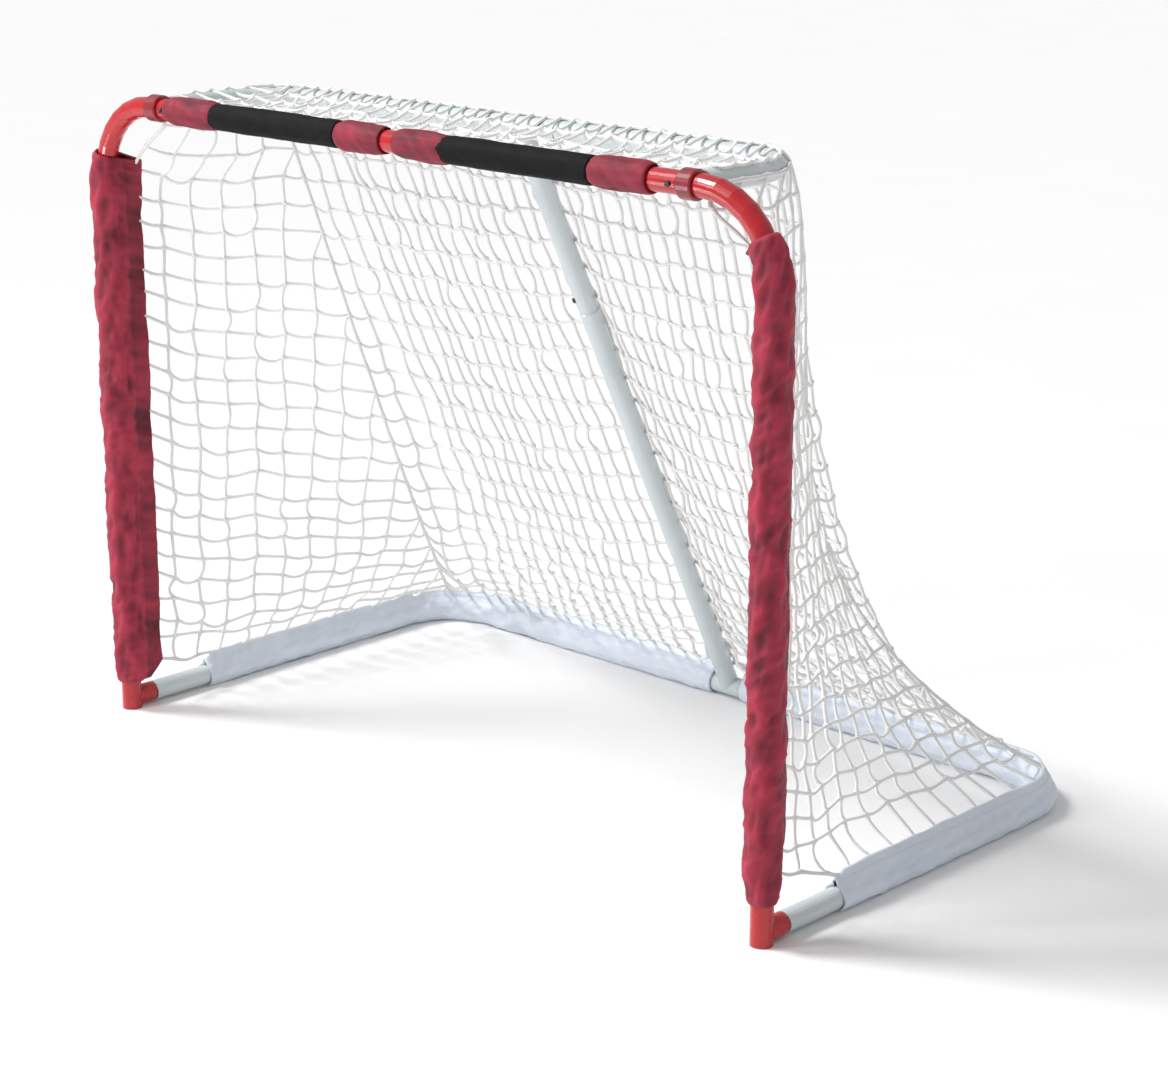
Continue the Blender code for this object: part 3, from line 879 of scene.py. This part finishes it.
class Net:
    """Knots joined by strands. Strands don't stretch, and the loose ones sag."""

    def __init__(self, seed):
        self.rng = random.Random(seed)
        self.points, self.fixed, self.links, self.rest = [], [], [], []
        self.lengths = {}

    def knot(self, point, fixed=False):
        self.points.append(tuple(point))
        self.fixed.append(fixed)
        return len(self.points) - 1

    def vary(self, slack, much):
        return slack * (1 + self.rng.uniform(-much, much))

    def tie(self, a, b, slack=1.0):
        if a == b:
            return
        gap = math.dist(self.points[a], self.points[b])
        self.links.append((a, b))
        self.rest.append(gap * slack)

    def settle(self, foot, top, radius):
        """Let the net hang, behind the centre post from foot to top, until it comes to rest."""
        x = np.array(self.points, float)
        move = 1.0 - np.array(self.fixed, float)[:, None]
        a, b = np.array(self.links).T
        rest = np.array(self.rest)
        count = np.bincount(np.concatenate([a, b]), minlength=len(x))[:, None]
        axis = (top - foot) / np.linalg.norm(top - foot)
        behind = np.cross(axis, (1.0, 0, 0))
        last = x.copy()
        for step in range(ROUNDS):
            fade = 1.0 if step < ROUNDS * LATE else LATE_FALL
            drift = (x - last) * MOMENTUM
            last = x.copy()
            x = x + move * (drift + np.array((0, 0, -FALL * fade)))
            for _ in range(INNER_ROUNDS):
                gap = x[b] - x[a]
                length = np.linalg.norm(gap, axis=1)
                over = np.maximum(length - rest, 0) / np.maximum(length, 1e-9)
                share = move[a] + move[b]
                shift = gap * (over / np.maximum(share[:, 0], 1))[:, None]
                total = np.zeros_like(x)
                for k in range(3):
                    total[:, k] = np.bincount(a, shift[:, k], len(x)) - np.bincount(
                        b, shift[:, k], len(x)
                    )
                x = x + move * total / np.maximum(count * TIE_SHARE, 1)
            out = x - foot
            out -= np.outer(out @ axis, axis)
            off_post = np.abs(out[:, 0])
            clear = radius - np.maximum(off_post - POST_FLAT, 0) * 1.1
            short = np.maximum(clear - out @ behind, 0) * (off_post < POST_REACH)
            short *= x[:, 2] < TOP_Z - TUBE_R  # the top panel doesn't reach the post
            x = x + move * short[:, None] * behind
        scatter = np.random.default_rng(SCATTER_SEED).normal(0, KNOT_SCATTER, x.shape)
        self.points = x + move * scatter
        for (low, high), length in zip(self.links, self.rest):
            self.lengths[(min(low, high), max(low, high))] = length

    def strand(self, built, chain, radius, slot=0):
        """One cord through a row of knots, curved, with the slack hanging between them."""
        knots = np.array([self.points[i] for i in chain])
        if len(knots) < 2:
            return
        padded = np.vstack([2 * knots[0] - knots[1], knots, 2 * knots[-1] - knots[-2]])
        line, sizes = [], []
        for i in range(len(knots) - 1):
            p0, p1, p2, p3 = padded[i : i + 4]
            gap = np.linalg.norm(p2 - p1)
            pair = (min(chain[i], chain[i + 1]), max(chain[i], chain[i + 1]))
            spare = max(0.0, self.lengths.get(pair, gap) / max(gap, 1e-6) - 1.0)
            bow = min(MOST_BOW, gap * math.sqrt(0.375 * spare))  # the sag of a shallow arc
            steep = abs(p2[2] - p1[2]) / max(gap, 1e-6)
            lean = np.array((self.rng.uniform(-1, 1), self.rng.uniform(-1, 1), 0.0))
            sag = np.array((0, 0, -1.0)) * (1 - steep) + lean * (0.3 + steep) * 0.6
            sag /= max(np.linalg.norm(sag), 1e-6)
            jitter = self.rng.uniform(-1, 1) * STRAND_JITTER
            for j in range(SUBDIVIDE):
                t = j / SUBDIVIDE
                a = 0.5 * (
                    2 * p1
                    + (p2 - p0) * t
                    + (2 * p0 - 5 * p1 + 4 * p2 - p3) * t * t
                    + (3 * p1 - p0 - 3 * p2 + p3) * t * t * t
                )
                line.append(a + sag * 4 * t * (1 - t) * (bow + jitter))
                sizes.append(KNOT_SWELL if j == 0 and i else 1.0)
        line.append(knots[-1])
        sizes[:2] = START_SIZES
        sizes.append(END_SIZE)
        built.cord(line, radius, 6, slot=slot, start=self.rng.random(), swell=sizes)

    def loops(self, built, rows):
        """A loop of twine round each crossing inside a panel."""
        for above, row, below in zip(rows, rows[1:], rows[2:]):
            for c in range(1, min(len(row), len(above), len(below)) - 1):
                u = self.points[row[c + 1]] - self.points[row[c - 1]]
                v = self.points[below[c]] - self.points[above[c]]
                u /= max(np.linalg.norm(u), 1e-9)
                v -= u * v.dot(u)
                v /= max(np.linalg.norm(v), 1e-9)
                first, second = (u + v) / math.sqrt(2), np.cross(u, v)
                around = TWINE_R * self.rng.uniform(1.10, 1.30)
                ring = [
                    self.points[row[c]] + around * (math.cos(t) * first + math.sin(t) * second)
                    for t in (2 * math.pi * i / 8 for i in range(8))
                ]
                built.cord(ring, TWINE_R * 0.80, 5, closed=True)


def arm_point(sign, y, out=0.0, up=0.0):
    """A point on the shelf frame above the side of the goal, at depth y."""
    bend_y = SHELF_Y - REAR_BEND
    if y <= bend_y:
        return Vector((sign * (COLLAR_X + out), y, TOP_Z + up))
    angle = math.asin(min(1.0, (y - bend_y) / (REAR_BEND + out)))
    middle = COLLAR_X - REAR_BEND
    return Vector(
        (
            sign * (middle + (REAR_BEND + out) * math.cos(angle)),
            bend_y + (REAR_BEND + out) * math.sin(angle),
            TOP_Z + up,
        )
    )


def rear_path(half, deep, z, out):
    """Evenly spaced points from the middle of the left rear bend, along the bar, to the middle of
    the right one, out from its axis."""
    line = []
    for i in range(9):
        a = math.radians(45 + 45 * i / 8)
        x = half - REAR_BEND + (REAR_BEND + out) * math.cos(a)
        line.append((x, deep - REAR_BEND + (REAR_BEND + out) * math.sin(a)))
    line = np.array([(-x, y) for x, y in line] + [(x, y) for x, y in line[::-1]])
    along = np.concatenate([[0], np.cumsum(np.linalg.norm(np.diff(line, axis=0), axis=1))])
    return [
        Vector((np.interp(t, along, line[:, 0]), np.interp(t, along, line[:, 1]), z))
        for t in np.linspace(0, along[-1], COLUMNS + 1)
    ]


def slack_corner(top, foot):
    """The edge where a side panel meets the back: slack, so it's drawn in and forward. One
    (share of the straight line, point) pair for each row, evenly spaced along it."""
    line = []
    for i in range(CREASE_STEPS + 1):
        t = i / CREASE_STEPS
        bulge = math.sin(math.pi * t**1.6) ** 0.8 if 0 < t < 1 else 0.0
        line.append(top.lerp(foot, t) - Vector((CREASE_IN, CREASE_FORWARD, 0)) * bulge)
    along = np.concatenate([[0], np.cumsum([(b - a).length for a, b in zip(line, line[1:])])])
    shares = np.linspace(0, 1, CREASE_STEPS + 1)
    pairs = []
    for r in range(ROWS + 1):
        t = float(np.interp(along[-1] * r / ROWS, along, shares))
        spot = t * CREASE_STEPS
        low = min(CREASE_STEPS - 1, int(spot))
        pairs.append((t, line[low].lerp(line[low + 1], spot - low)))
    return pairs


def flap_point(sign, name, z):
    """A point inside a post's flap, at height z on the post's axis."""
    low, high = POST_SLEEVES[name]
    rise = TOP_Z - FRONT_BEND
    bend, end = (
        math.asin(min(0.99, max(0.0, (height - rise) / FRONT_BEND))) for height in (z, high)
    )
    at = min(z, rise) - low + FRONT_BEND * bend
    to_end = rise - low + FRONT_BEND * end - at
    turn = sign * (POST_TURN[name] + POST_TWIST[name] * twisted(to_end))
    p, q = POST_TIP - IN_FLAP, SWAY_SHARE * flap_sway(at, POST_SEEDS[name])
    out, across = p * math.cos(turn) - q * math.sin(turn), p * math.sin(turn) + q * math.cos(turn)
    axis = Vector((sign * (POST_X - FRONT_BEND * (1 - math.cos(bend))), MOUTH_Y, z))
    way = Vector((-sign * math.sin(bend), 0, math.cos(bend)))
    forward = Vector((0, 1, 0))
    return axis + forward * out + way.cross(forward) * across


def side_front(sign, name):
    """The front edge of a side panel: rope from the ring to the flap, then down the flap."""
    low, high = POST_SLEEVES[name]
    line = [Vector((sign * (COLLAR_X - RING_IN), MOUTH_Y + RING_BACK, TOP_Z - RING_DOWN))]
    for i in range(FLAP_STEPS + 1):
        down = (high - low - FLAP_GAPS) * i / FLAP_STEPS
        line.append(flap_point(sign, name, high - FLAP_TOP_GAP - down))
    return line


def drop(line, z):
    """The point at height z on a line that runs down."""
    for a, b in zip(line, line[1:]):
        if a.z >= z >= b.z:
            return a.lerp(b, (a.z - z) / max(a.z - b.z, 1e-6))
    return line[-1] if z < line[-1].z else line[0]


def foot_point(sign, start, share, length):
    """A point on the lower edge of a side panel: it runs down from the post's flap to the base's,
    then along that and round its rear bend."""
    reach = share * FOOT_REACH
    bend_y = BASE_Y - REAR_BEND
    if reach > 1.0:
        angle = min(math.pi / 4, (reach - 1.0) * length / REAR_BEND)
        x = POST_X - REAR_BEND + REAR_BEND * math.cos(angle)
        return Vector((sign * x, bend_y + REAR_BEND * math.sin(angle), FLAP_Z))
    y = start.y + (bend_y - start.y) * min(1.0, reach)
    mix = min(1.0, max(0.0, (y - start.y) / (BASE_SLEEVE_Y + LANDING - start.y)))
    x = start.x + (sign * POST_X - start.x) * mix
    return Vector((x, y, start.z + (FLAP_Z - start.z) * mix))


def knot_back(net, shelf, base):
    """Rows of knots from the shelf bar down to the base, tied to their neighbours."""
    top, foot = shelf[COLUMNS], base[COLUMNS]
    back = []
    for r, (share, crease_point) in enumerate(slack_corner(top, foot)):
        straight = top.lerp(foot, share)
        row = []
        for c in range(COLUMNS + 1):
            edge = min(c, COLUMNS - c)
            point = shelf[c].lerp(base[c], share)
            point.x *= crease_point.x / straight.x
            point.y -= (straight.y - crease_point.y) * math.exp(-edge / CREASE_COLUMNS)
            row.append(net.knot(point, r in (0, ROWS) or edge == 0))
        back.append(row)
    for r in range(1, ROWS):
        for c in range(COLUMNS):
            net.tie(back[r][c], back[r][c + 1], net.vary(*BACK_ACROSS))
    for c in range(1, COLUMNS):
        for r in range(ROWS):
            net.tie(back[r][c], back[r + 1][c], net.vary(*BACK_DOWN))
    return back


def knot_side(net, name, back):
    """Rows of knots from the front edge to the rear corner, tied to their neighbours."""
    sign = SIDES[name]
    front = side_front(sign, name)
    corner = 0 if sign < 0 else COLUMNS
    first, last = front[0].z - RING_TO_ROW, front[-1].z
    rows = []
    for k in range(ROWS + 1):
        rear = Vector(net.points[back[k][corner]])
        if k == 0:
            start = arm_point(sign, MOUTH_Y + ARM_START, WRAP)
        else:
            start = drop(front, first - (first - last) * (k - 1) / (ROWS - 1))
        length = (rear - start).length
        row = [net.knot(start, True)]
        for j in range(1, math.ceil((length - LAST_CELL) / SIDE_CELL)):
            share = j * SIDE_CELL / length
            if k == 0:
                point = arm_point(sign, start.y + (rear.y - start.y) * share, WRAP)
            elif k == ROWS:
                point = foot_point(sign, start, share, length)
            else:
                point = start.lerp(rear, share)
            held = k == 0 or (k == ROWS and point.y > BASE_SLEEVE_Y + HELD_FROM)
            row.append(net.knot(point, held))
        row.append(back[k][corner])
        rows.append(row)
    for k, row in enumerate(rows):
        for a, b in zip(row, row[1:]):
            net.tie(a, b, 1.0 if k in (0, ROWS) else net.vary(*SIDE_ACROSS))
    for above, row in zip(rows, rows[1:]):
        for j in range(1, min(len(row) - 1, len(above) + 1)):
            upper = above[j] if j < len(above) - 1 else above[-1]
            net.tie(upper, row[j], net.vary(*SIDE_DOWN))
    return rows


def knot_top(net, shelf):
    """Rows of knots from the crossbar's flap back over the shelf bar, tied to their neighbours."""
    flap_y, flap_z = MOUTH_Y + BAR_TIP - BAR_ROW_IN, TOP_Z + BAR_ROW_UP
    top = []
    for r in range(TOP_ROWS + 1):
        t = r / TOP_ROWS
        row = []
        for c, rear in enumerate(shelf):
            if c in (0, COLUMNS):
                y = flap_y + (rear.y - TOP_BACK_GAP - flap_y) * t
                point = arm_point(-1 if c == 0 else 1, y, ARM_OUT, WRAP * ARM_WRAP)
            else:
                start = Vector(((COLLAR_X - TOP_NARROW) * (2 * c / COLUMNS - 1), flap_y, flap_z))
                over_y = min(rear.y - WRAP * OVER_WRAP, SHELF_Y)
                point = start.lerp(Vector((rear.x * OVER_NARROW, over_y, TOP_Z + WRAP)), t)
            row.append(net.knot(point, r in (0, TOP_ROWS) or c in (0, COLUMNS)))
        top.append(row)
    for r in range(1, TOP_ROWS + 1):
        for c in range(COLUMNS):
            net.tie(top[r][c], top[r][c + 1], net.vary(*TOP_ACROSS))
    for r in range(TOP_ROWS):
        for c in range(COLUMNS + 1):
            net.tie(top[r][c], top[r + 1][c], net.vary(*TOP_DEEP))
    return top


def draw_back(net, back):
    built = Builder()
    columns = list(zip(*back))
    for chain in back[1:ROWS] + columns[1:COLUMNS]:
        net.strand(built, chain, TWINE_R)
    for chain in (columns[0], columns[COLUMNS], back[0], back[ROWS]):
        net.strand(built, chain, EDGE_R, slot=1)
    net.loops(built, back)
    return built


def draw_top(net, top, back):
    built = Builder()
    net.strand(built, top[0], EDGE_R, slot=1)
    for row in top[1:]:
        net.strand(built, row, TWINE_R)
    for column in zip(*top, back[0]):
        net.strand(built, column, TWINE_R)
    net.loops(built, top)
    return built


def draw_side(net, rows, sleeve_top):
    built = Builder()
    for row in rows[1:ROWS]:
        net.strand(built, row, TWINE_R)
    for j in range(1, max(len(row) for row in rows) - 1):
        chain = []
        for k, row in enumerate(rows):
            if j < len(row) - 1:
                if not chain and k > 0:
                    chain.append(rows[k - 1][-1])  # a column that starts at the rear corner
                chain.append(row[j])
        net.strand(built, chain, TWINE_R)
    for row in (rows[0], rows[ROWS]):
        net.strand(built, row, EDGE_R, slot=1)
    loose = [row[0] for row in rows if net.points[row[0]][2] > sleeve_top - ROPE_OVERLAP]
    net.strand(built, loose, EDGE_R, slot=1)
    net.loops(built, rows)
    return built


def make_net():
    net = Net(NET_SEED)
    shelf = rear_path(COLLAR_X, SHELF_Y, TOP_Z + SHELF_UP, WRAP)
    base = rear_path(POST_X, BASE_Y, FLAP_Z, 0.0)
    for point in base:
        if abs(point.x) < BASE_SLEEVE_X + TEE_WIDTH:  # over the bare tee
            point.z += TEE_LIFT
            point.y += TEE_LIFT
    back = knot_back(net, shelf, base)
    sides = {name: knot_side(net, name, back) for name in SIDES}
    top = knot_top(net, shelf)
    foot, head = np.array((0, BASE_Y, BASE_Z)), np.array((0, SHELF_Y, TOP_Z))
    net.settle(foot, head, TUBE_R + TWINE_R + POST_GAP)

    panels = {"net_back": draw_back(net, back), "net_top": draw_top(net, top, back)}
    for name, rows in sides.items():
        panels["net_" + name] = draw_side(net, rows, POST_SLEEVES[name][1])
    for node, built in panels.items():
        obj = built.object("twine_" + node, [TWINE, ROPE])
        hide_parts(node)
        if node == "net_back":
            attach(obj, REAR)
        else:
            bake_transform(obj)


# ---------------------------------------------------------------- stage


def studio():
    mesh = bpy.data.meshes.new("studio_floor")
    corners = [(-1, -1), (1, -1), (1, 1), (-1, 1)]
    mesh.from_pydata([(x * FLOOR_HALF, y * FLOOR_HALF, 0) for x, y in corners], [], [(0, 1, 2, 3)])
    mesh.materials.append(floor_material())
    floor = bpy.data.objects.new("studio_floor", mesh)
    bpy.context.scene.collection.objects.link(floor)
    world = bpy.data.worlds.new("studio")
    world.use_nodes = True
    background = world.node_tree.nodes["Background"]
    background.inputs["Color"].default_value = rgb(1.0, 1.0, 1.0)
    background.inputs["Strength"].default_value = WORLD_LIGHT
    bpy.context.scene.world = world
    bpy.context.scene.view_settings.view_transform = "Standard"
    for name, kind, place, spread, power in LIGHTS:
        light = bpy.data.lights.new(name, kind)
        light.energy = power
        if kind == "SUN":
            light.angle = spread
        else:
            light.shape, light.size = "DISK", spread
        lamp = bpy.data.objects.new(name, light)
        lamp.location = place
        lamp.rotation_mode = "QUATERNION"
        lamp.rotation_quaternion = (LIT_AT - Vector(place)).to_track_quat("-Z", "Y")
        bpy.context.scene.collection.objects.link(lamp)


def camera():
    data = bpy.data.cameras.new("camera")
    data.lens, data.sensor_width = CAMERA_LENS, CAMERA_SENSOR
    eye = bpy.data.objects.new("camera", data)
    level = math.cos(CAMERA_PITCH)
    look = Vector(
        (
            -math.sin(CAMERA_AZIMUTH) * level,
            math.cos(CAMERA_AZIMUTH) * level,
            -math.sin(CAMERA_PITCH),
        )
    )
    eye.location = CAMERA_PLACE
    eye.rotation_mode = "QUATERNION"
    eye.rotation_quaternion = look.to_track_quat("-Z", "Y")
    bpy.context.scene.collection.objects.link(eye)
    bpy.context.scene.camera = eye


camera()
studio()
dress_frame()
post_sleeves()
base_sleeves()
crossbar_sleeves()
make_net()

bpy.context.view_layer.update()
